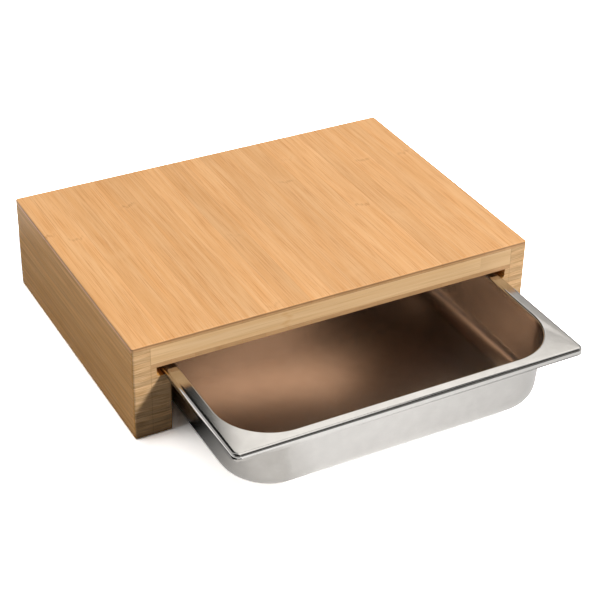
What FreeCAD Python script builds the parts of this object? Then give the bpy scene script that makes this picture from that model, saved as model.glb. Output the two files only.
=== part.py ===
import FreeCAD, Part
import os
from math import pi

import Sketcher
from FreeCAD import Vector

# Bamboo cutting board on two side legs, with a steel food tray that slides in grooves under the panel.
# X runs along the front, Y to the back and Z up. The origin is on the table, under the middle of the
# whole object with the tray pulled out, and the tray comes out towards -Y.

doc = FreeCAD.newDocument("CuttingBoard")

# The driving sizes in millimetres, and one angle in degrees.
driving = {
    # Tray: a half-size food tray, drawn from one sheet of steel.
    "tray_width": 325,  # rim, left to right
    "tray_length": 265,  # rim, front to back
    "tray_depth": 63,  # top of the rim to the underside of the bottom
    "tray_steel": 0.8,  # sheet thickness
    "flange_width": 9.5,  # flat flange, from the rim's outer edge to the bend into the tray
    "wall_bend_radius": 2,  # top of the bend from the flange down into the wall
    "wall_taper": 4,  # slope of the walls, in degrees
    "cavity_corner_radius": 48,  # inside corners between the walls, at the top
    "floor_bend_radius": 17,  # inside bend between walls and floor
    "rim_height": 6.4,  # flange top to the rim's lower edge
    "rim_bend_radius": 3.2,  # outside of the bend between flange and rim
    "rim_corner_radius": 6.5,  # rim corners, seen from above
    "hem_gap": 0.1,  # between the two layers of the rim's folded edge
    # Running clearances between the tray and the wood.
    "rim_seat_clearance": 0.3,  # under the rim, to the groove's floor
    "rim_top_clearance": 2.3,  # over the rim, to the panel
    "rim_side_clearance": 6.5,  # beside the rim, to the groove's end, each side
    "body_side_clearance": 4.2,  # beside the tray's body, to the runner, each side
    "table_clearance": 1.7,  # under the tray, to the table
    "groove_back_clearance": 0.5,  # behind the rim when the tray is in
    # Wood.
    "top_ply_thickness": 4,  # cutting surface, grain front to back
    "core_ply_thickness": 16,  # middle layer, grain side to side
    "bottom_ply_thickness": 4,  # lower layer, grain front to back
    "side_panel_thickness": 16,  # outer board of a leg
    "groove_cheek": 5,  # runner wood outside the groove's end
    "groove_end_wall": 6.5,  # runner wood behind the closed back end of the groove
    "groove_root_radius": 3.5,  # lower inside corner of the groove
    "arris_radius": 1,  # rounding of the cutting surface's edges
    "leg_edge_radius": 2,  # rounding of the legs' free edges and the board's corners
    "tray_pull": 130,  # how far the tray's front is drawn out of the board's front
}

sizes = doc.addObject("Spreadsheet::Sheet", "Sizes")
for row, (alias, number) in enumerate(driving.items(), 1):
    sizes.set(f"A{row}", alias)
    sizes.set(f"B{row}", str(number))
    sizes.setAlias(f"B{row}", alias)
doc.recompute()

# Sizes that follow from the driving ones.
hemThickness = "(2 * Sizes.tray_steel + Sizes.hem_gap)"
cavityWidth = "(Sizes.tray_width - 2 * (Sizes.flange_width + Sizes.wall_bend_radius))"
cavityLength = "(Sizes.tray_length - 2 * (Sizes.flange_width + Sizes.wall_bend_radius))"
bodyWidth = f"({cavityWidth} + 2 * Sizes.tray_steel)"
bodyLength = f"({cavityLength} + 2 * Sizes.tray_steel)"
bayWidth = f"({bodyWidth} + 2 * Sizes.body_side_clearance)"
grooveSpan = "(Sizes.tray_width + 2 * Sizes.rim_side_clearance)"
runnerThickness = f"(({grooveSpan} - {bayWidth}) / 2 + Sizes.groove_cheek)"
panelWidth = f"({bayWidth} + 2 * {runnerThickness})"
boardWidth = f"({panelWidth} + 2 * Sizes.side_panel_thickness)"

grooveLength = "(Sizes.tray_length + Sizes.groove_back_clearance)"
boardDepth = f"({grooveLength} + Sizes.groove_end_wall)"

rimTop = "(Sizes.table_clearance + Sizes.tray_depth)"
grooveFloor = f"({rimTop} - Sizes.rim_height - Sizes.rim_seat_clearance)"
runnerHeight = f"({rimTop} + Sizes.rim_top_clearance)"
coreBottom = f"({runnerHeight} + Sizes.bottom_ply_thickness)"
sidePanelHeight = f"({coreBottom} + Sizes.core_ply_thickness)"

boardMiddle = "(Sizes.tray_pull / 2)"
trayMiddle = f"((Sizes.tray_length - {boardDepth} - Sizes.tray_pull) / 2)"


def value(expression):
    """The number that an expression on the sheet gives."""
    return float(sizes.evalExpression(expression))


def near(first, second):
    return abs(first - second) < 0.001


# Building steps that the pieces share.


def addBody(label, middle, base="0"):
    """A body whose own origin stands at this Y and this height."""
    body = doc.addObject("PartDesign::Body", label)
    body.Label = label
    body.setExpression("Placement.Base.y", middle)
    body.setExpression("Placement.Base.z", base)
    return body


def addSketch(body, name, role, offset="0"):
    """A sketch on one of the body's own origin planes, moved along the plane's normal."""
    plane = next(feature for feature in body.Origin.OriginFeatures if feature.Role == role)
    sketch = body.newObject("Sketcher::SketchObject", name)
    sketch.AttachmentSupport = [(plane, "")]
    sketch.MapMode = "FlatFace"
    sketch.setExpression("AttachmentOffset.Base.z", offset)
    return sketch


def addLines(sketch, *corners):
    """Level and upright lines from corner to corner."""
    for start, end in zip(corners, corners[1:]):
        line = sketch.addGeometry(Part.LineSegment(start, end), False)
        direction = "Horizontal" if near(start.y, end.y) else "Vertical"
        sketch.addConstraint(Sketcher.Constraint(direction, line))


def addQuarter(sketch, centre, radius, quarter):
    """A quarter circle that starts at this many quarter turns from the right."""
    circle = Part.Circle(centre, Vector(0, 0, 1), radius)
    return sketch.addGeometry(Part.ArcOfCircle(circle, quarter * pi / 2, (quarter + 1) * pi / 2), False)


def join(sketch, kind, first, second):
    """Ties the end of one line or arc to the start of another."""
    sketch.addConstraint(Sketcher.Constraint(kind, first, 2, second, 1))


def bind(sketch, kind, points, name, expression):
    """A named sketch dimension, driven by the sheet."""
    index = sketch.addConstraint(Sketcher.Constraint(kind, *points, value(expression)))
    sketch.renameConstraint(index, name)
    sketch.setExpression(f"Constraints.{name}", expression)


def sketchPanel(body, name, width):
    """A rectangle about the body's origin, as deep as the board, seen from above."""
    sketch = addSketch(body, name, "XY_Plane")
    x = value(width) / 2
    y = value(boardDepth) / 2
    addLines(sketch, Vector(-x, -y), Vector(x, -y), Vector(x, y), Vector(-x, y), Vector(-x, -y))
    for side in range(4):
        join(sketch, "Coincident", side, (side + 1) % 4)
    sketch.addConstraint(Sketcher.Constraint("Symmetric", 0, 1, 2, 1, -1, 1))
    bind(sketch, "DistanceX", (0, 1, 0, 2), "width", width)
    bind(sketch, "DistanceY", (1, 1, 1, 2), "depth", boardDepth)
    return sketch


def sketchLegStrip(body, name, outerWidth, innerWidth):
    """A strip on the left, as deep as the board, between two widths measured across the board."""
    sketch = addSketch(body, name, "XY_Plane")
    outer = -value(outerWidth) / 2
    inner = -value(innerWidth) / 2
    y = value(boardDepth) / 2
    addLines(sketch, Vector(outer, -y), Vector(inner, -y), Vector(inner, y), Vector(outer, y), Vector(outer, -y))
    for side in range(4):
        join(sketch, "Coincident", side, (side + 1) % 4)
    bind(sketch, "DistanceX", (0, 1, -1, 1), "outer", f"{outerWidth} / 2")
    bind(sketch, "DistanceX", (0, 2, -1, 1), "inner", f"{innerWidth} / 2")
    bind(sketch, "DistanceY", (0, 1, -1, 1), "front", f"{boardDepth} / 2")
    bind(sketch, "DistanceY", (-1, 1, 2, 1), "back", f"{boardDepth} / 2")
    return sketch


def sketchRoundedRectangle(body, name, width, length, radius, offset="0"):
    """A rectangle with round corners about the body's origin, seen from above."""
    sketch = addSketch(body, name, "XY_Plane", offset)
    x = value(width) / 2
    y = value(length) / 2
    r = value(radius)
    addLines(sketch, Vector(r - x, -y), Vector(x - r, -y))
    addLines(sketch, Vector(x, r - y), Vector(x, y - r))
    addLines(sketch, Vector(x - r, y), Vector(r - x, y))
    addLines(sketch, Vector(-x, y - r), Vector(-x, r - y))
    centres = [Vector(x - r, r - y), Vector(x - r, y - r), Vector(r - x, y - r), Vector(r - x, r - y)]
    for corner, centre in enumerate(centres):
        arc = addQuarter(sketch, centre, r, corner - 1)
        join(sketch, "Tangent", corner, arc)
        join(sketch, "Tangent", arc, (corner + 1) % 4)
    for arc in (5, 6, 7):
        sketch.addConstraint(Sketcher.Constraint("Equal", 4, arc))
    sketch.addConstraint(Sketcher.Constraint("Symmetric", 4, 3, 6, 3, -1, 1))
    bind(sketch, "Radius", (4,), "corner", radius)
    bind(sketch, "DistanceX", (3, 1, 1, 1), "width", width)
    bind(sketch, "DistanceY", (0, 1, 2, 1), "length", length)
    return sketch


def extrude(kind, sketch, name, length, backwards=False, taper=None):
    """A Pad or Pocket along the sketch's normal, or backwards against it."""
    body = sketch.getParentGeoFeatureGroup()
    before = body.Shape.Volume if body.Tip else 0
    feature = body.newObject(f"PartDesign::{kind}", name)
    feature.Profile = sketch
    feature.Reversed = backwards == (kind == "Pad")
    feature.setExpression("Length", length)
    if taper:
        feature.setExpression("TaperAngle", taper)
    doc.recompute()
    if near(feature.Shape.Volume, before):
        raise RuntimeError(f"{name} adds or cuts nothing")
    return feature


def roundEdges(body, name, radius, keep):
    """Rounds each edge of the body so far whose bounding box passes the test."""
    solid = body.Tip
    edges = [f"Edge{number}" for number, edge in enumerate(solid.Shape.Edges, 1) if keep(edge.BoundBox)]
    fillet = body.newObject("PartDesign::Fillet", name)
    fillet.Base = (solid, edges)
    fillet.setExpression("Radius", radius)
    doc.recompute()
    return fillet


def levelAt(box, height):
    return near(box.ZMin, height) and near(box.ZMax, height)


def uprightAt(box, x):
    return near(box.XMin, x) and near(box.XMax, x) and near(box.YMin, box.YMax)


def mirrorLeft(source, label):
    """The same piece for the right-hand side."""
    copy = doc.addObject("Part::Mirroring", label)
    copy.Label = label
    copy.Source = source
    copy.Normal = Vector(1, 0, 0)
    doc.recompute()
    return copy


# Panel: three layers of bamboo, glued crosswise.


def makeTopPly():
    """The cutting surface covers the whole board, side panels included."""
    ply = addBody("top_ply", boardMiddle, sidePanelHeight)
    extrude("Pad", sketchPanel(ply, "TopPlyOutline", boardWidth), "TopPlySheet", "Sizes.top_ply_thickness")
    roundEdges(ply, "TopPlyCorners", "Sizes.leg_edge_radius", lambda box: not near(box.ZMin, box.ZMax))
    top = value("Sizes.top_ply_thickness")
    roundEdges(ply, "TopPlyArris", "Sizes.arris_radius", lambda box: levelAt(box, top))
    return ply


def makeInnerPly(label, thickness, base):
    """A layer that ends at the side panels."""
    ply = addBody(label, boardMiddle, base)
    extrude("Pad", sketchPanel(ply, f"{label}_outline", panelWidth), f"{label}_sheet", thickness)
    return ply


# Legs: an outer board and an inner runner, glued face to face.


def makeSidePanel():
    """Outer board of the left leg."""
    panel = addBody("left_side_panel", boardMiddle)
    outline = sketchLegStrip(panel, "SidePanelOutline", boardWidth, panelWidth)
    extrude("Pad", outline, "SidePanelBoard", sidePanelHeight)
    outer = -value(boardWidth) / 2
    inner = -value(panelWidth) / 2

    def isFree(box):
        foot = levelAt(box, 0) and not near(box.XMin, inner)
        return foot or uprightAt(box, outer)

    roundEdges(panel, "SidePanelEdges", "Sizes.leg_edge_radius", isFree)
    return panel


def sketchGroove(runner):
    """The groove's section on the runner's front: square under the panel, round at its root."""
    sketch = addSketch(runner, "GrooveSection", "XZ_Plane", f"{boardDepth} / 2")
    outer = -value(grooveSpan) / 2
    inner = -value(bayWidth) / 2
    floor = value(grooveFloor)
    top = value(runnerHeight)
    root = value("Sizes.groove_root_radius")
    addLines(sketch, Vector(inner, floor), Vector(inner, top), Vector(outer, top), Vector(outer, floor + root))
    addLines(sketch, Vector(outer + root, floor), Vector(inner, floor))
    arc = addQuarter(sketch, Vector(outer + root, floor + root), root, 2)
    join(sketch, "Coincident", 0, 1)
    join(sketch, "Coincident", 1, 2)
    join(sketch, "Tangent", 2, arc)
    join(sketch, "Tangent", arc, 3)
    join(sketch, "Coincident", 3, 0)
    bind(sketch, "Radius", (arc,), "root", "Sizes.groove_root_radius")
    bind(sketch, "DistanceX", (2, 1, -1, 1), "outer", f"{grooveSpan} / 2")
    bind(sketch, "DistanceX", (0, 1, -1, 1), "inner", f"{bayWidth} / 2")
    bind(sketch, "DistanceY", (-1, 1, 0, 1), "floor", grooveFloor)
    bind(sketch, "DistanceY", (-1, 1, 0, 2), "top", runnerHeight)
    return sketch


def makeRunner():
    """Inner block of the left leg, with the groove that carries the tray's rim."""
    runner = addBody("left_runner", boardMiddle)
    outline = sketchLegStrip(runner, "RunnerOutline", panelWidth, bayWidth)
    extrude("Pad", outline, "RunnerBlock", runnerHeight)
    outer = -value(panelWidth) / 2
    inner = -value(bayWidth) / 2

    def isFree(box):
        foot = levelAt(box, 0) and not near(box.XMax, outer)
        return foot or uprightAt(box, inner)

    roundEdges(runner, "RunnerEdges", "Sizes.leg_edge_radius", isFree)
    extrude("Pocket", sketchGroove(runner), "Groove", grooveLength, backwards=True)
    return runner


# Tray: one pressing, worked out from the top of its rim downwards.


def makeTray():
    tray = addBody("tray", trayMiddle, rimTop)

    rimOutline = ("Sizes.tray_width", "Sizes.tray_length", "Sizes.rim_corner_radius")
    rim = sketchRoundedRectangle(tray, "RimOutline", *rimOutline)
    extrude("Pad", rim, "RimBlank", "Sizes.rim_height", backwards=True)
    roundEdges(tray, "RimBend", "Sizes.rim_bend_radius", lambda box: levelAt(box, 0))

    underside = -value("Sizes.tray_steel")
    underOutline = (
        f"(Sizes.tray_width - 2 * {hemThickness})",
        f"(Sizes.tray_length - 2 * {hemThickness})",
        f"(Sizes.rim_corner_radius - {hemThickness})",
    )
    hollow = sketchRoundedRectangle(tray, "UnderRimOutline", *underOutline, offset="-Sizes.tray_steel")
    extrude("Pocket", hollow, "UnderRim", "Sizes.rim_height", backwards=True)
    underBend = "(Sizes.rim_bend_radius - Sizes.tray_steel)"
    roundEdges(tray, "UnderRimBend", underBend, lambda box: levelAt(box, underside))

    # The tray's body is drawn down through the flange, outside first, then hollowed.
    taper = "-Sizes.wall_taper"
    bodyCorner = "(Sizes.cavity_corner_radius + Sizes.tray_steel)"
    outside = sketchRoundedRectangle(tray, "BodyOutline", bodyWidth, bodyLength, bodyCorner)
    extrude("Pad", outside, "BodyBlank", "Sizes.tray_depth", backwards=True, taper=taper)
    cavityOutline = (cavityWidth, cavityLength, "Sizes.cavity_corner_radius")
    cavityDepth = "(Sizes.tray_depth - Sizes.tray_steel)"
    inside = sketchRoundedRectangle(tray, "CavityOutline", *cavityOutline)
    extrude("Pocket", inside, "Cavity", cavityDepth, backwards=True, taper=taper)

    floor = -value(cavityDepth)
    bottom = -value("Sizes.tray_depth")
    bottomBend = "(Sizes.floor_bend_radius + Sizes.tray_steel)"
    roundEdges(tray, "FloorBend", "Sizes.floor_bend_radius", lambda box: levelAt(box, floor))
    roundEdges(tray, "BottomBend", bottomBend, lambda box: levelAt(box, bottom))

    def isMouthEdge(box):
        reach = value(bodyWidth) / 2
        return levelAt(box, 0) and -reach < box.XMin and box.XMax < reach

    roundEdges(tray, "WallBend", "Sizes.wall_bend_radius", isMouthEdge)
    return tray


leftSidePanel = makeSidePanel()
leftRunner = makeRunner()
pieces = [
    makeTopPly(),
    makeInnerPly("core_ply", "Sizes.core_ply_thickness", coreBottom),
    makeInnerPly("bottom_ply", "Sizes.bottom_ply_thickness", runnerHeight),
    leftSidePanel,
    mirrorLeft(leftSidePanel, "right_side_panel"),
    leftRunner,
    mirrorLeft(leftRunner, "right_runner"),
    makeTray(),
]
doc.recompute()

for item in doc.Objects:
    if "Invalid" in item.State or "Error" in item.State:
        raise RuntimeError(f"{item.Label} failed: {item.State}")
for piece in pieces:
    if piece.Shape.isNull() or not piece.Shape.isValid() or len(piece.Shape.Solids) != 1:
        raise RuntimeError(f"{piece.Label} is not one valid solid")

os.makedirs("parts", exist_ok=True)
for piece in pieces:
    piece.Shape.exportStep(f"parts/{piece.Label}.step")
    box = piece.Shape.BoundBox
    print(f"{piece.Label}: {piece.Shape.Volume / 1000:.2f} cm3, "
          f"X {box.XMin:.2f} {box.XMax:.2f}, Y {box.YMin:.2f} {box.YMax:.2f}, Z {box.ZMin:.2f} {box.ZMax:.2f}")
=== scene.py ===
from math import radians

import bmesh
import bpy
from mathutils import Matrix, Vector


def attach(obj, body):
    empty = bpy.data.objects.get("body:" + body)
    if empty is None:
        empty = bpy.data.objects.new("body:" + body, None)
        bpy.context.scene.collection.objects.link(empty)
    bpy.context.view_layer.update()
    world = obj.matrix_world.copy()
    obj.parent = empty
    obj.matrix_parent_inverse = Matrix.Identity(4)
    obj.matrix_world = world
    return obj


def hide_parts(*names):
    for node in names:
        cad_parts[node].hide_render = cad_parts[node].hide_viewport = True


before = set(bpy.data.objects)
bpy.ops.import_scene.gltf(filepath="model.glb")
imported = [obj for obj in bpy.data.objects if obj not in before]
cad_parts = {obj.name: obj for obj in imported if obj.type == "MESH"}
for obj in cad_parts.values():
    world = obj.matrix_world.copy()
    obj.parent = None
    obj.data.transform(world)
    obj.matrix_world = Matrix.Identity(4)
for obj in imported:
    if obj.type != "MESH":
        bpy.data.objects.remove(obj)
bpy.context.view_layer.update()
mm = 0.001


def linear(hexColour):
    # sRGB hex to the linear colour that a socket takes
    parts = [int(hexColour[i:i + 2], 16) / 255 for i in (1, 3, 5)]
    return tuple(c / 12.92 if c <= 0.04045 else ((c + 0.055) / 1.055) ** 2.4 for c in parts) + (1.0,)


def perMetre(sizes):
    # noise scales that draw features of these sizes in mm
    return [1 / (size * mm) for size in sizes]


def edgeOf(node, letter, pick):
    # in mm, where a board starts or ends along an axis
    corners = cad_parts[node].bound_box
    return pick(corner["XYZ".index(letter)] for corner in corners) / mm


def addNode(tree, kind, inputs=None, **settings):
    # inputs holds plain values or the sockets to link; the new node's outputs come back
    node = tree.nodes.new(kind)
    for name, value in settings.items():
        setattr(node, name, value)
    for socket, source in (inputs or {}).items():
        if isinstance(source, bpy.types.NodeSocket):
            tree.links.new(source, node.inputs[socket])
        else:
            node.inputs[socket].default_value = source
    return node.outputs


def newMaterial(name):
    material = bpy.data.materials.new(name)
    material.use_nodes = True
    material.node_tree.nodes.clear()
    return material, material.node_tree


def cameraAndMirrors(tree):
    # one factor for what the camera sees itself, one for what it sees by reflection
    path = addNode(tree, "ShaderNodeLightPath")
    shiny = {0: path["Is Glossy Ray"], 1: path["Is Transmission Ray"]}
    return path["Is Camera Ray"], addNode(tree, "ShaderNodeMath", shiny, operation="MAXIMUM")[0]


def addObject(name, data):
    made = bpy.data.objects.new(name, data)
    bpy.context.scene.collection.objects.link(made)
    return made


def addMesh(name, mesh, material):
    data = bpy.data.meshes.new(name)
    mesh.to_mesh(data)
    mesh.free()
    data.materials.append(material)
    return addObject(name, data)


# camera: in front of the left corner, looking down on the board
view = {
    "place": (-0.58528, -1.07808, 0.83919),
    "right": (0.88359, -0.46798, 0.01625),
    "down": (-0.24303, -0.48797, -0.83834),
    "forward": (0.40026, 0.73680, -0.54490),
    "lens": 98.6,
    "sensor": 36,
    "reach": 50,
}
cameraData = bpy.data.cameras.new("boardCamera")
cameraData.lens = view["lens"]
cameraData.sensor_width = view["sensor"]
cameraData.clip_end = view["reach"]
boardCamera = addObject("boardCamera", cameraData)
turn = Matrix((view["right"], -Vector(view["down"]), -Vector(view["forward"]))).transposed()
boardCamera.matrix_world = Matrix.Translation(view["place"]) @ turn.to_4x4()
bpy.context.scene.camera = boardCamera
bpy.context.scene.view_settings.view_transform = "Standard"
print("camera set")


# studio: white paper floor, soft lamps
studio = {
    "floorSize": 8.0,
    "floorColour": 0.45,
    "floorSeen": 3.8,  # how bright the paper looks to the camera
    "floorMirrored": ((0.0, 1.3), (0.2, 0.93)),  # and in reflections, at two places from left to right: painted light that falls off towards the right
    "roomFill": 0.035,  # what the room adds to plain surfaces
    "roomMirrored": 0.62,  # and to reflections; the camera sees it white
}
paper, tree = newMaterial("whitePaper")  # matt seamless paper, exposed to white
seen, mirrored = cameraAndMirrors(tree)
coords = addNode(tree, "ShaderNodeTexCoord")
place = addNode(tree, "ShaderNodeSeparateXYZ", {0: coords["Object"]})
(leftX, left), (rightX, right) = studio["floorMirrored"]
# painted light: the paper seen in reflections darkens from left to right
level = addNode(tree, "ShaderNodeMapRange", {0: place["X"], 1: leftX, 2: rightX, 3: left, 4: right})[0]
level = addNode(tree, "ShaderNodeMix", {0: mirrored, 2: studio["floorColour"], 3: level})[0]
level = addNode(tree, "ShaderNodeMix", {0: seen, 2: level, 3: studio["floorSeen"]})[0]
surface = addNode(tree, "ShaderNodeBsdfDiffuse", {"Color": level})[0]
addNode(tree, "ShaderNodeOutputMaterial", {"Surface": surface})
mesh = bmesh.new()
bmesh.ops.create_grid(mesh, x_segments=1, y_segments=1, size=studio["floorSize"] / 2)
studioFloor = addMesh("studioFloor", mesh, paper)

room = bpy.data.worlds.new("studioRoom")
bpy.context.scene.world = room
room.use_nodes = True
tree = room.node_tree
tree.nodes.clear()
seen, mirrored = cameraAndMirrors(tree)
level = {0: mirrored, 3: studio["roomFill"], 4: studio["roomMirrored"]}
level = addNode(tree, "ShaderNodeMapRange", level)[0]
level = addNode(tree, "ShaderNodeMath", {0: seen, 1: level}, operation="MAXIMUM")[0]
surface = addNode(tree, "ShaderNodeBackground", {"Color": (1, 1, 1, 1), "Strength": level})[0]
addNode(tree, "ShaderNodeOutputWorld", {"Surface": surface})

lamps = {
    # place, where it points, width and height, power, spread in degrees
    "keyLamp": ((3.22, -4.20, 4.38), (0, 0, 0.05), (0.9, 0.9), 504.0, 180),
    "overheadBox": ((-0.5, 0.5, 2.4), (0, 0, 0.05), (1.6, 1.6), 14.0, 180),
    "leftFill": ((-2.4, 0.3, 1.3), (0, 0, 0.05), (1.4, 1.4), 14.5, 180),
}
trayLamps = {
    # the same, for the key lamp's light that the steel throws up into the bay
    "trayBounce": ((-0.03, 0.018, 0.017), (-0.024, 0.036, 0.067), (0.17, 0.05), 0.072, 100),
    "trayBounceRight": ((0.09, -0.05, 0.017), (0.1, -0.035, 0.067), (0.08, 0.05), 0.0045, 180),
}
steelTint = (0.84, 0.88, 1.0)  # light off the steel is a little cooler
for name, (place, aim, (width, height), power, spread) in {**lamps, **trayLamps}.items():
    data = bpy.data.lights.new(name, "AREA")
    data.shape = "RECTANGLE"
    data.size = width
    data.size_y = height
    data.energy = power
    data.spread = radians(spread)
    lamp = addObject(name, data)
    lamp.location = place
    lamp.rotation_euler = (Vector(aim) - Vector(place)).to_track_quat("-Z", "Y").to_euler()
    lamp.visible_glossy = False
    lamp.visible_camera = False
    if name in trayLamps:
        data.color = steelTint
        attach(lamp, "tray")

# cards that only reflections see, glowing as painted reflections: bright ones behind and overhead, and dark
# ones for the unlit room round the rest
cards = {
    # name: azimuths in degrees from +Y towards +X, elevations in degrees, distance, brightness
    "backBox": ((21, 95), (35.5, 58), 2.4, 1.45),
    "underBackBox": ((21, 95), (20, 35.5), 2.4, 0.46),
    "lowBackCard": ((22, 75), (2, 20), 2.4, 0.1),
    "topBox": ((21, 190), (64, 89), 2.4, 1.50),
    "upperBackCard": ((21, 118), (58, 64), 3.0, 0.012),
    "frontCard": ((118, 167), (33, 54), 3.0, 0.012),
    "frontCardMiddle": ((118, 167), (13, 33), 3.0, 0.3),
    "frontCardLow": ((118, 167), (2, 13), 3.0, 0.012),
    "leftCard": ((176, 300), (33, 80), 3.0, 0.012),
    "leftCardMiddle": ((176, 250), (13, 33), 3.0, 0.3),
    "leftCardLow": ((176, 250), (2, 13), 3.0, 0.012),
    "backCardLow": ((-40, 22), (3, 16), 1.6, 0.012),
    "backCardHigh": ((-40, 22), (26, 62), 1.6, 0.012),
}
cardTint = (1.0, 0.98, 0.95, 1.0)  # a little warm
cardSteps = (12, 36)  # up and round


def placeCard(name, mesh, brightness, thinning=None):
    glow, tree = newMaterial(name)  # glowing card that only reflections see: a painted reflection of a lit board or of the unlit room
    coords = addNode(tree, "ShaderNodeTexCoord")
    place = addNode(tree, "ShaderNodeSeparateXYZ", {0: coords["Object"]})
    if isinstance(brightness, tuple):  # painted shadow, lighter towards the front
        (dimY, dim), (brightY, bright) = brightness
        fade = {0: place["Y"], 1: dimY, 2: brightY, 3: dim, 4: bright}
        brightness = addNode(tree, "ShaderNodeMapRange", fade)[0]
    surface = addNode(tree, "ShaderNodeEmission", {"Color": cardTint, "Strength": brightness})[0]
    if thinning:  # the right edge thins out over this stretch
        share = addNode(tree, "ShaderNodeMapRange", {0: place["X"], 1: thinning[0], 2: thinning[1]})[0]
        clear = addNode(tree, "ShaderNodeBsdfTransparent")[0]
        surface = addNode(tree, "ShaderNodeMixShader", {0: share, 1: surface, 2: clear})[0]
    addNode(tree, "ShaderNodeOutputMaterial", {"Surface": surface})
    glow.cycles.emission_sampling = "NONE"
    card = addMesh(name, mesh, glow)
    card.visible_camera = False
    card.visible_diffuse = False
    card.visible_shadow = False
    card.visible_transmission = False


for name, (azimuths, elevations, distance, brightness) in cards.items():
    mesh = bmesh.new()
    start = Vector((0, distance, 0))
    start.rotate(Matrix.Rotation(radians(elevations[0]), 3, "X"))
    first = mesh.verts.new(start)
    lift = radians(elevations[1] - elevations[0])
    bmesh.ops.spin(mesh, geom=[first], cent=(0, 0, 0), axis=(1, 0, 0), angle=lift, steps=cardSteps[0])
    arc = mesh.verts[:] + mesh.edges[:]
    toStart = Matrix.Rotation(radians(-azimuths[0]), 3, "Z")
    bmesh.ops.rotate(mesh, verts=mesh.verts[:], cent=(0, 0, 0), matrix=toStart)
    sweep = radians(azimuths[0] - azimuths[1])
    bmesh.ops.spin(mesh, geom=arc, cent=(0, 0, 0), axis=(0, 0, 1), angle=sweep, steps=cardSteps[1])
    placeCard(name, mesh, brightness)

# and dark cards on the paper beside the tray, which only reflections see: painted shadow where the leg
# stands in the way of the lamps
paperShadowCards = {
    # name: left and right, front and back, height, brightness or (y, brightness) twice, thinning
    "floorShadowCard": ((-0.4, -0.07), (-0.26, -0.07), 0.0005, ((-0.08, 0.0), (-0.1937, 0.88)), (-0.108, -0.07)),
    "floorShadowCardLeft": ((-0.4, -0.2), (-0.3, -0.07), 0.0007, 0.01, None),
    "floorShadowCardFront": ((-0.25, -0.13), (-0.3, -0.255), 0.0009, 0.01, None),
}
for name, ((left, right), (front, back), height, brightness, thinning) in paperShadowCards.items():
    mesh = bmesh.new()
    corners = ((left, front), (right, front), (right, back), (left, back))
    mesh.faces.new([mesh.verts.new((*corner, height)) for corner in corners])
    placeCard(name, mesh, brightness, thinning)
print("studio set")


# what all the bamboo boards share; sizes are in mm, and a span is the part of a noise that is used
bamboo = {
    "patch": (111.11, 25, 25),  # slow drift of tone
    "patchSpan": (0.3, 0.7),
    "patchTones": (0.96, 1.04),
    "toneSpan": (0.32, 0.68),  # bundles of fibres, from the light tone to the middle one
    "lineSpan": (0.50, 0.72),  # single fibres, from none to a full dark line
    "sway": 22.22,  # length of one swell in an uneven strip
    "buttShift": 40.0,  # how many strips further on the tones past a butt joint are taken
    "slide": 2000,  # how far one strip's fibres may be shifted against the next strip's
    "ragged": 9.0,  # how far the edge of a node mark wanders
    "bow": -0.05,  # how fast a mark curves back from the strip's middle
    "bowEnds": (12.0, 80.0),  # where it fades towards the strip's sides, in square mm
    "halo": (2.0, 9.0),  # the pale band on both sides of a mark
    "haloShare": 0.3,
    "markCore": 0.2,
    "fleckSpan": (0.38, 0.58),  # single fibres break a mark up
    "fleckShare": 0.15,  # down to this share of it
    "endFacing": (0.5, 0.8),  # how squarely a face cuts the grain before it shows end grain
    "endSpan": (0.34, 0.66),
    "seamWidth": 0.35,
    "roughSpread": 0.08,
    "bump": 0.25,
    "bumpDepth": 0.15,
    "ior": 1.5,
}


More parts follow.
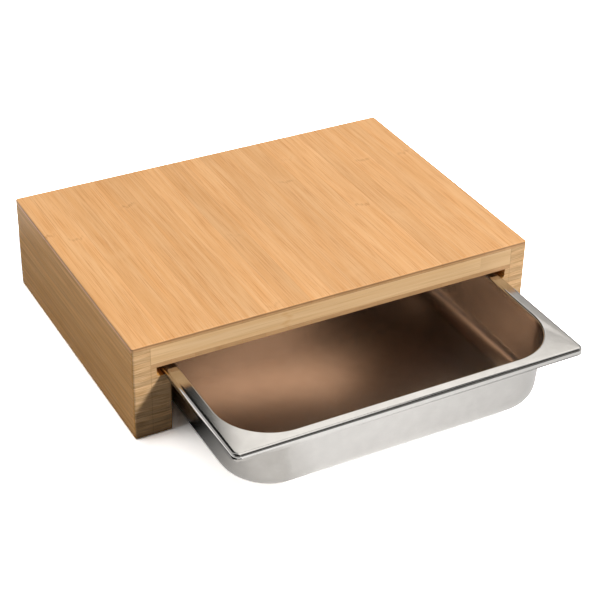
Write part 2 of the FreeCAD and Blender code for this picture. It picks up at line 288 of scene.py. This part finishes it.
def makeBamboo(finish):
    # planed and oiled bamboo: fine long fibres, strips of slightly different tone, and a node mark
    # here and there
    material, tree = newMaterial(finish["name"])
    coords = addNode(tree, "ShaderNodeTexCoord")
    place = addNode(tree, "ShaderNodeSeparateXYZ", {0: coords["Object"]})
    facing = addNode(tree, "ShaderNodeSeparateXYZ", {0: coords["Normal"]})
    along, across, through = (place[letter] for letter in finish["axes"])
    if "wave" in finish:  # the strips are a little uneven in thickness
        reach = finish["wave"] * mm
        sway = addNode(tree, "ShaderNodeCombineXYZ", {0: across, 1: through})[0]
        sway = {"Vector": sway, "Scale": 1 / (bamboo["sway"] * mm), "Detail": 1.0}
        sway = addNode(tree, "ShaderNodeTexNoise", sway)[0]
        sway = addNode(tree, "ShaderNodeMapRange", {0: sway, 3: -reach, 4: reach})[0]
        across = addNode(tree, "ShaderNodeMath", {0: across, 1: sway}, operation="ADD")[0]

    # strips, each with its own tone
    spot = {0: across, 1: 1 / (finish["strip"] * mm), 2: finish["shift"]}
    spot = addNode(tree, "ShaderNodeMath", spot, operation="MULTIPLY_ADD")[0]
    strip = addNode(tree, "ShaderNodeMath", {0: spot}, operation="FLOOR")[0]
    if "buttJoint" in finish:
        past = {0: along, 1: finish["buttJoint"] * mm}
        past = addNode(tree, "ShaderNodeMath", past, operation="GREATER_THAN")[0]
        strip = {0: past, 1: bamboo["buttShift"], 2: strip}
        strip = addNode(tree, "ShaderNodeMath", strip, operation="MULTIPLY_ADD")[0]
    strip = addNode(tree, "ShaderNodeMath", {0: strip, 1: finish["seed"]}, operation="ADD")[0]
    chance = addNode(tree, "ShaderNodeTexWhiteNoise", {"W": strip}, noise_dimensions="1D")
    chances = addNode(tree, "ShaderNodeSeparateColor", {0: chance["Color"]})
    slid = {0: chances[0], 1: bamboo["slide"] * mm, 2: along}
    slid = addNode(tree, "ShaderNodeMath", slid, operation="MULTIPLY_ADD")[0]
    grain = addNode(tree, "ShaderNodeCombineXYZ", {0: slid, 1: across, 2: through})[0]

    # single fibres, bundles of them and whole patches
    thin = {0: grain, 1: perMetre(finish["thin"])}
    thin = addNode(tree, "ShaderNodeVectorMath", thin, operation="MULTIPLY")[0]
    thin = {"Vector": thin, "Scale": 1.0, "Detail": 3.0, "Roughness": 0.6}
    thin = addNode(tree, "ShaderNodeTexNoise", thin)[0]
    wide = {0: grain, 1: perMetre(finish["wide"])}
    wide = addNode(tree, "ShaderNodeVectorMath", wide, operation="MULTIPLY")[0]
    wide = {"Vector": wide, "Scale": 1.0, "Detail": 2.0, "Roughness": 0.5}
    wide = addNode(tree, "ShaderNodeTexNoise", wide)[0]
    patch = {0: grain, 1: perMetre(bamboo["patch"])}
    patch = addNode(tree, "ShaderNodeVectorMath", patch, operation="MULTIPLY")[0]
    patch = addNode(tree, "ShaderNodeTexNoise", {"Vector": patch, "Scale": 1.0, "Detail": 2.0})[0]

    start, stop = bamboo["toneSpan"]
    tone = addNode(tree, "ShaderNodeMapRange", {0: wide, 1: start, 2: stop, 3: 0.0, 4: 1.0})[0]
    colour = {0: tone, 6: linear(finish["light"]), 7: linear(finish["middle"])}
    colour = addNode(tree, "ShaderNodeMix", colour, data_type="RGBA")[2]
    start, stop = bamboo["lineSpan"]
    line = {0: thin, 1: start, 2: stop, 3: 0.0, 4: finish["lines"]}
    line = addNode(tree, "ShaderNodeMapRange", line)[0]
    colour = {0: line, 6: colour, 7: linear(finish["line"])}
    colour = addNode(tree, "ShaderNodeMix", colour, data_type="RGBA")[2]

    # node marks: a small soft swirl across each strip, on most strips very faint
    step = {0: along, 1: finish["nodeAt"] * mm}
    step = addNode(tree, "ShaderNodeMath", step, operation="SUBTRACT")[0]
    step = {0: step, 1: 1 / (finish["nodeSpacing"] * mm), 2: 0.5}
    step = addNode(tree, "ShaderNodeMath", step, operation="MULTIPLY_ADD")[0]
    step = {0: chances[1], 1: finish["scatter"], 2: step}
    step = addNode(tree, "ShaderNodeMath", step, operation="MULTIPLY_ADD")[0]
    step = addNode(tree, "ShaderNodeMath", {0: step}, operation="FRACT")[0]
    reach = finish["nodeSpacing"] / 2
    away = addNode(tree, "ShaderNodeMapRange", {0: step, 3: -reach, 4: reach})[0]
    ragged = {0: wide, 3: -bamboo["ragged"], 4: bamboo["ragged"]}
    ragged = addNode(tree, "ShaderNodeMapRange", ragged)[0]
    away = addNode(tree, "ShaderNodeMath", {0: away, 1: ragged}, operation="ADD")[0]
    off = addNode(tree, "ShaderNodeMath", {0: spot}, operation="FRACT")[0]
    reach = finish["strip"] / 2
    off = addNode(tree, "ShaderNodeMapRange", {0: off, 3: -reach, 4: reach})[0]
    bow = addNode(tree, "ShaderNodeMath", {0: off, 1: 2.0}, operation="POWER")[0]
    away = addNode(tree, "ShaderNodeMath", {0: bow, 1: bamboo["bow"], 2: away}, operation="MULTIPLY_ADD")[0]
    away = addNode(tree, "ShaderNodeMath", {0: away}, operation="ABSOLUTE")[0]
    start, stop = bamboo["bowEnds"]
    reach = {0: bow, 1: start, 2: stop, 3: 1.0, 4: 0.0}
    reach = addNode(tree, "ShaderNodeMapRange", reach, interpolation_type="SMOOTHSTEP")[0]
    start, stop = bamboo["halo"]
    halo = {0: away, 1: start, 2: stop, 3: bamboo["haloShare"], 4: 0.0}
    halo = addNode(tree, "ShaderNodeMapRange", halo, interpolation_type="SMOOTHSTEP")[0]
    mark = {0: away, 1: bamboo["markCore"], 2: finish["markWidth"], 3: finish["marks"], 4: 0.0}
    mark = addNode(tree, "ShaderNodeMapRange", mark, interpolation_type="SMOOTHSTEP")[0]
    mark = addNode(tree, "ShaderNodeMath", {0: mark, 1: reach}, operation="MULTIPLY")[0]
    start, stop = bamboo["fleckSpan"]
    flecks = {0: thin, 1: start, 2: stop, 3: bamboo["fleckShare"], 4: 1.0}
    flecks = addNode(tree, "ShaderNodeMapRange", flecks)[0]
    mark = addNode(tree, "ShaderNodeMath", {0: mark, 1: flecks}, operation="MULTIPLY")[0]
    faint = addNode(tree, "ShaderNodeMath", {0: chance["Value"], 1: 2.0}, operation="POWER")[0]
    mark = addNode(tree, "ShaderNodeMath", {0: mark, 1: faint}, operation="MULTIPLY")[0]
    for share, paint in ((halo, "light"), (mark, "mark")):
        colour = {0: share, 6: colour, 7: linear(finish[paint])}
        colour = addNode(tree, "ShaderNodeMix", colour, data_type="RGBA")[2]

    # end grain: short level streaks in two tones of its own
    end = addNode(tree, "ShaderNodeMath", {0: facing[finish["axes"][0]]}, operation="ABSOLUTE")[0]
    slant, square = bamboo["endFacing"]
    end = addNode(tree, "ShaderNodeMapRange", {0: end, 1: slant, 2: square})[0]
    cut = addNode(tree, "ShaderNodeCombineXYZ", {0: across, 1: through})[0]
    cut = {0: cut, 1: (*perMetre(finish["endStreaks"]), 0)}
    cut = addNode(tree, "ShaderNodeVectorMath", cut, operation="MULTIPLY")[0]
    cut = {"Vector": cut, "Scale": 1.0, "Detail": 3.0, "Roughness": 0.6}
    cut = addNode(tree, "ShaderNodeTexNoise", cut)[0]
    start, stop = bamboo["endSpan"]
    cut = addNode(tree, "ShaderNodeMapRange", {0: cut, 1: start, 2: stop})[0]
    cut = {0: cut, 6: linear(finish["endLight"]), 7: linear(finish["endDark"])}
    cut = addNode(tree, "ShaderNodeMix", cut, data_type="RGBA")[2]
    colour = addNode(tree, "ShaderNodeMix", {0: end, 6: colour, 7: cut}, data_type="RGBA")[2]

    # each strip and each patch a little lighter or darker
    uneven = {0: end, 3: finish["uneven"], 4: finish["unevenEnd"]}
    uneven = addNode(tree, "ShaderNodeMapRange", uneven)[0]
    shade = addNode(tree, "ShaderNodeMapRange", {0: chances[2], 3: -1.0, 4: 1.0})[0]
    shade = addNode(tree, "ShaderNodeMath", {0: shade, 1: uneven, 2: 1.0}, operation="MULTIPLY_ADD")[0]
    start, stop = bamboo["patchSpan"]
    dark, light = bamboo["patchTones"]
    drift = addNode(tree, "ShaderNodeMapRange", {0: patch, 1: start, 2: stop, 3: dark, 4: light})[0]
    shade = addNode(tree, "ShaderNodeMath", {0: shade, 1: drift}, operation="MULTIPLY")[0]
    colour = addNode(tree, "ShaderNodeVectorMath", {0: colour, "Scale": shade}, operation="SCALE")[0]

    # seams between strips
    seam = addNode(tree, "ShaderNodeMath", {0: spot}, operation="FRACT")[0]
    seam = addNode(tree, "ShaderNodeMath", {0: seam, 1: 0.5}, operation="SUBTRACT")[0]
    seam = addNode(tree, "ShaderNodeMath", {0: seam}, operation="ABSOLUTE")[0]
    width = bamboo["seamWidth"] / finish["strip"]
    seam = {0: seam, 1: 0.5 - width, 2: 0.5, 3: 0.0, 4: finish["seams"]}
    seam = addNode(tree, "ShaderNodeMapRange", seam)[0]
    colour = {0: seam, 6: colour, 7: linear(finish["line"])}
    colour = addNode(tree, "ShaderNodeMix", colour, data_type="RGBA")[2]

    # glue lines where boards meet, and a painted shade line just under the cutting surface's rounded edge
    for letter, where, width, strength in finish["glueAndShadeLines"]:
        darkLine = addNode(tree, "ShaderNodeMath", {0: place[letter]}, operation="ABSOLUTE")[0]
        darkLine = addNode(tree, "ShaderNodeMath", {0: darkLine, 1: where * mm}, operation="SUBTRACT")[0]
        darkLine = addNode(tree, "ShaderNodeMath", {0: darkLine}, operation="ABSOLUTE")[0]
        darkLine = {0: darkLine, 1: width * mm / 4, 2: width * mm, 3: strength, 4: 0.0}
        darkLine = addNode(tree, "ShaderNodeMapRange", darkLine)[0]
        colour = {0: darkLine, 6: colour, 7: linear(finish["glueAndShadeColour"])}
        colour = addNode(tree, "ShaderNodeMix", colour, data_type="RGBA")[2]

    middle, spread = finish["roughness"], bamboo["roughSpread"]
    rough = addNode(tree, "ShaderNodeMapRange", {0: thin, 3: middle - spread, 4: middle + spread})[0]
    bump = {"Strength": bamboo["bump"], "Distance": bamboo["bumpDepth"] * mm, "Height": thin}
    bump = addNode(tree, "ShaderNodeBump", bump)[0]
    wood = {"Base Color": colour, "Roughness": rough, "Normal": bump}
    wood |= {"IOR": bamboo["ior"], "Specular IOR Level": finish["gloss"]}
    surface = addNode(tree, "ShaderNodeBsdfPrincipled", wood)[0]
    addNode(tree, "ShaderNodeOutputMaterial", {"Surface": surface})
    return material


def dress(node, material):
    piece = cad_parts[node]
    piece.data.materials.clear()
    piece.data.materials.append(material)


# where the boards meet and where the painted shade line lies, in mm above the table or from the middle
# outwards
shadeLineDrop = 1.3  # the painted shade line under the rounded top edge: its middle lies this far under the cutting surface
meets = {
    "shadeLine": edgeOf("top_ply", "Z", max) - shadeLineDrop,
    "underTop": edgeOf("top_ply", "Z", min),
    "underCore": edgeOf("core_ply", "Z", min),
    "underPanel": edgeOf("bottom_ply", "Z", min),
    "sidePanel": edgeOf("right_side_panel", "X", min),
}

# cutting surface: flat-pressed strips, 21.5 mm wide, grain front to back
topPly = {
    "name": "oiledBambooFlatGrain",
    "axes": "YXZ",  # along the grain, across it, through the board
    "strip": 21.5,
    "shift": 8.25,
    "seed": 3.0,
    "light": "#F1BC84",
    "middle": "#E9AE72",
    "line": "#C27C40",
    "lines": 0.62,
    "thin": (41.67, 0.8, 0.8),  # one fibre in mm, drawn coarser than a real one so that it shows
    "wide": (100, 3.846, 3.846),  # and a bundle of them
    "nodeSpacing": 290.0,
    "nodeAt": 0.0,
    "scatter": 1.0,
    "marks": 0.6,
    "markWidth": 3.5,
    "mark": "#B5753C",
    "seams": 0.45,
    "endLight": "#D5A878",
    "endDark": "#BF9264",
    "endStreaks": (16.67, 0.9091),  # in mm, across the board and through it
    "uneven": 0.045,
    "unevenEnd": 0.03,
    # the first line is painted shade under the rounded top edge, the second a glue line
    "glueAndShadeLines": [("Z", meets["shadeLine"], 1.0, 0.55), ("Z", meets["underTop"], 0.4, 0.15)],  # width, strength
    "glueAndShadeColour": "#7A4A26",
    "roughness": 0.42,
    "gloss": 0.4,
}
dress("top_ply", makeBamboo(topPly))

# core: long strips side to side, butt-jointed near the right end
corePly = {
    **topPly,
    "name": "oiledBambooCore",
    "axes": "XYZ",
    "strip": 18.0,
    "shift": 0.444,
    "buttJoint": 142.0,
    "seed": 21.0,
    "light": "#F1CA99",
    "middle": "#E7BC87",
    "line": "#BE9059",
    "lines": 0.4,
    "thin": (62.5, 0.8, 0.8),
    "wide": (142.86, 3.846, 3.846),
    "nodeSpacing": 310.0,
    "nodeAt": -50.0,
    "scatter": 0.0,
    "markWidth": 6.0,
    "mark": "#CE9450",
    "uneven": 0.05,
    "glueAndShadeLines": [
        ("Z", meets["underTop"], 0.4, 0.15),
        ("Z", meets["underCore"], 0.4, 0.15),
        ("X", meets["sidePanel"], 0.5, 0.35),
    ],
}
dress("core_ply", makeBamboo(corePly))

# lower layer: the same stock as the cutting surface, a paler batch
bottomPly = {
    **topPly,
    "name": "oiledBambooUnderside",
    "seed": 47.0,
    "light": "#E7BC95",
    "middle": "#DAAC82",
    "glueAndShadeLines": [("Z", meets["underCore"], 0.4, 0.15), ("Z", meets["underPanel"], 0.5, 0.3)],
}
dress("bottom_ply", makeBamboo(bottomPly))

# legs: thin strips stacked, so their front ends are striped
leg = {
    **topPly,
    "name": "oiledBambooLeg",
    "axes": "YZX",
    "strip": 4.5,
    "shift": 0.3,
    "wave": 1.1,
    "seed": 70.0,
    "light": "#E4AC64",
    "middle": "#CF9448",
    "line": "#93632E",
    "lines": 0.55,
    "thin": (62.5, 0.8, 0.8),
    "wide": (142.86, 3.846, 3.846),
    "seams": 0.4,
    "endLight": "#E8C193",
    "endDark": "#C29765",
    "endStreaks": (1.111, 22.22),
    "uneven": 0.05,
    "unevenEnd": 0.13,
    "glueAndShadeLines": [("X", meets["sidePanel"], 0.5, 0.25)],
    "gloss": 0.2,
}
legBamboo = makeBamboo(leg)
for node in ("left_side_panel", "right_side_panel", "left_runner", "right_runner"):
    dress(node, legBamboo)
print("bamboo dressed")

# tray: deep-drawn stainless sheet, satin and a little cloudy inside and out, brighter on the pressed rim
tray = {
    "light": "#CCC9C5",
    "dull": "#C5C2BE",
    "dullPatch": 12.5,  # sizes are in mm
    "dullSpan": (0.34, 0.66),
    "wallRoughness": 0.25,
    "rimRoughness": 0.12,
    "rimFrom": 57.5,  # height over which the finish changes to the rim's
    "rimTo": 61.5,
    "roughPatch": 28.57,
    "roughSpread": 0.015,
    "brushing": (33.33, 33.33, 0.6667),  # level lines, drawn coarser than real ones
    "bump": 0.05,
    "bumpDepth": 0.05,
    "weld": 0.002,
}
steel, tree = newMaterial("satinStainlessSteel")
coords = addNode(tree, "ShaderNodeTexCoord")["Object"]
place = addNode(tree, "ShaderNodeSeparateXYZ", {0: coords})
brushed = {0: coords, 1: perMetre(tray["brushing"])}
brushed = addNode(tree, "ShaderNodeVectorMath", brushed, operation="MULTIPLY")[0]
brushed = addNode(tree, "ShaderNodeTexNoise", {"Vector": brushed, "Scale": 1.0, "Detail": 3.0})[0]
cloudy = {"Vector": coords, "Scale": 1 / (tray["roughPatch"] * mm), "Detail": 3.0}
cloudy = addNode(tree, "ShaderNodeTexNoise", cloudy)[0]
rimShare = {0: place["Z"], 1: tray["rimFrom"] * mm, 2: tray["rimTo"] * mm}
rimShare = addNode(tree, "ShaderNodeMapRange", rimShare)[0]
rough = {0: rimShare, 3: tray["wallRoughness"], 4: tray["rimRoughness"]}
rough = addNode(tree, "ShaderNodeMapRange", rough)[0]
spread = {0: cloudy, 3: -tray["roughSpread"], 4: tray["roughSpread"]}
spread = addNode(tree, "ShaderNodeMapRange", spread)[0]
rough = addNode(tree, "ShaderNodeMath", {0: rough, 1: spread}, operation="ADD")[0]
bump = {"Strength": tray["bump"], "Distance": tray["bumpDepth"] * mm, "Height": brushed}
bump = addNode(tree, "ShaderNodeBump", bump)[0]
dull = {"Vector": coords, "Scale": 1 / (tray["dullPatch"] * mm), "Detail": 5.0, "Roughness": 0.65}
dull = addNode(tree, "ShaderNodeTexNoise", dull)[0]
start, stop = tray["dullSpan"]
dull = addNode(tree, "ShaderNodeMapRange", {0: dull, 1: start, 2: stop})[0]
colour = {0: dull, 6: linear(tray["light"]), 7: linear(tray["dull"])}
colour = addNode(tree, "ShaderNodeMix", colour, data_type="RGBA")[2]
metal = {"Base Color": colour, "Metallic": 1.0, "Roughness": rough, "Normal": bump}
surface = addNode(tree, "ShaderNodeBsdfPrincipled", metal)[0]
addNode(tree, "ShaderNodeOutputMaterial", {"Surface": surface})

pressing = bmesh.new()
pressing.from_mesh(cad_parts["tray"].data)
bmesh.ops.remove_doubles(pressing, verts=pressing.verts[:], dist=tray["weld"] * mm)
for face in pressing.faces:
    face.smooth = True
foodTray = addMesh("foodTray", pressing, steel)
even = foodTray.modifiers.new("evenNormals", "WEIGHTED_NORMAL")
even.keep_sharp = True
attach(foodTray, "tray")
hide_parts("tray")
print("tray dressed")
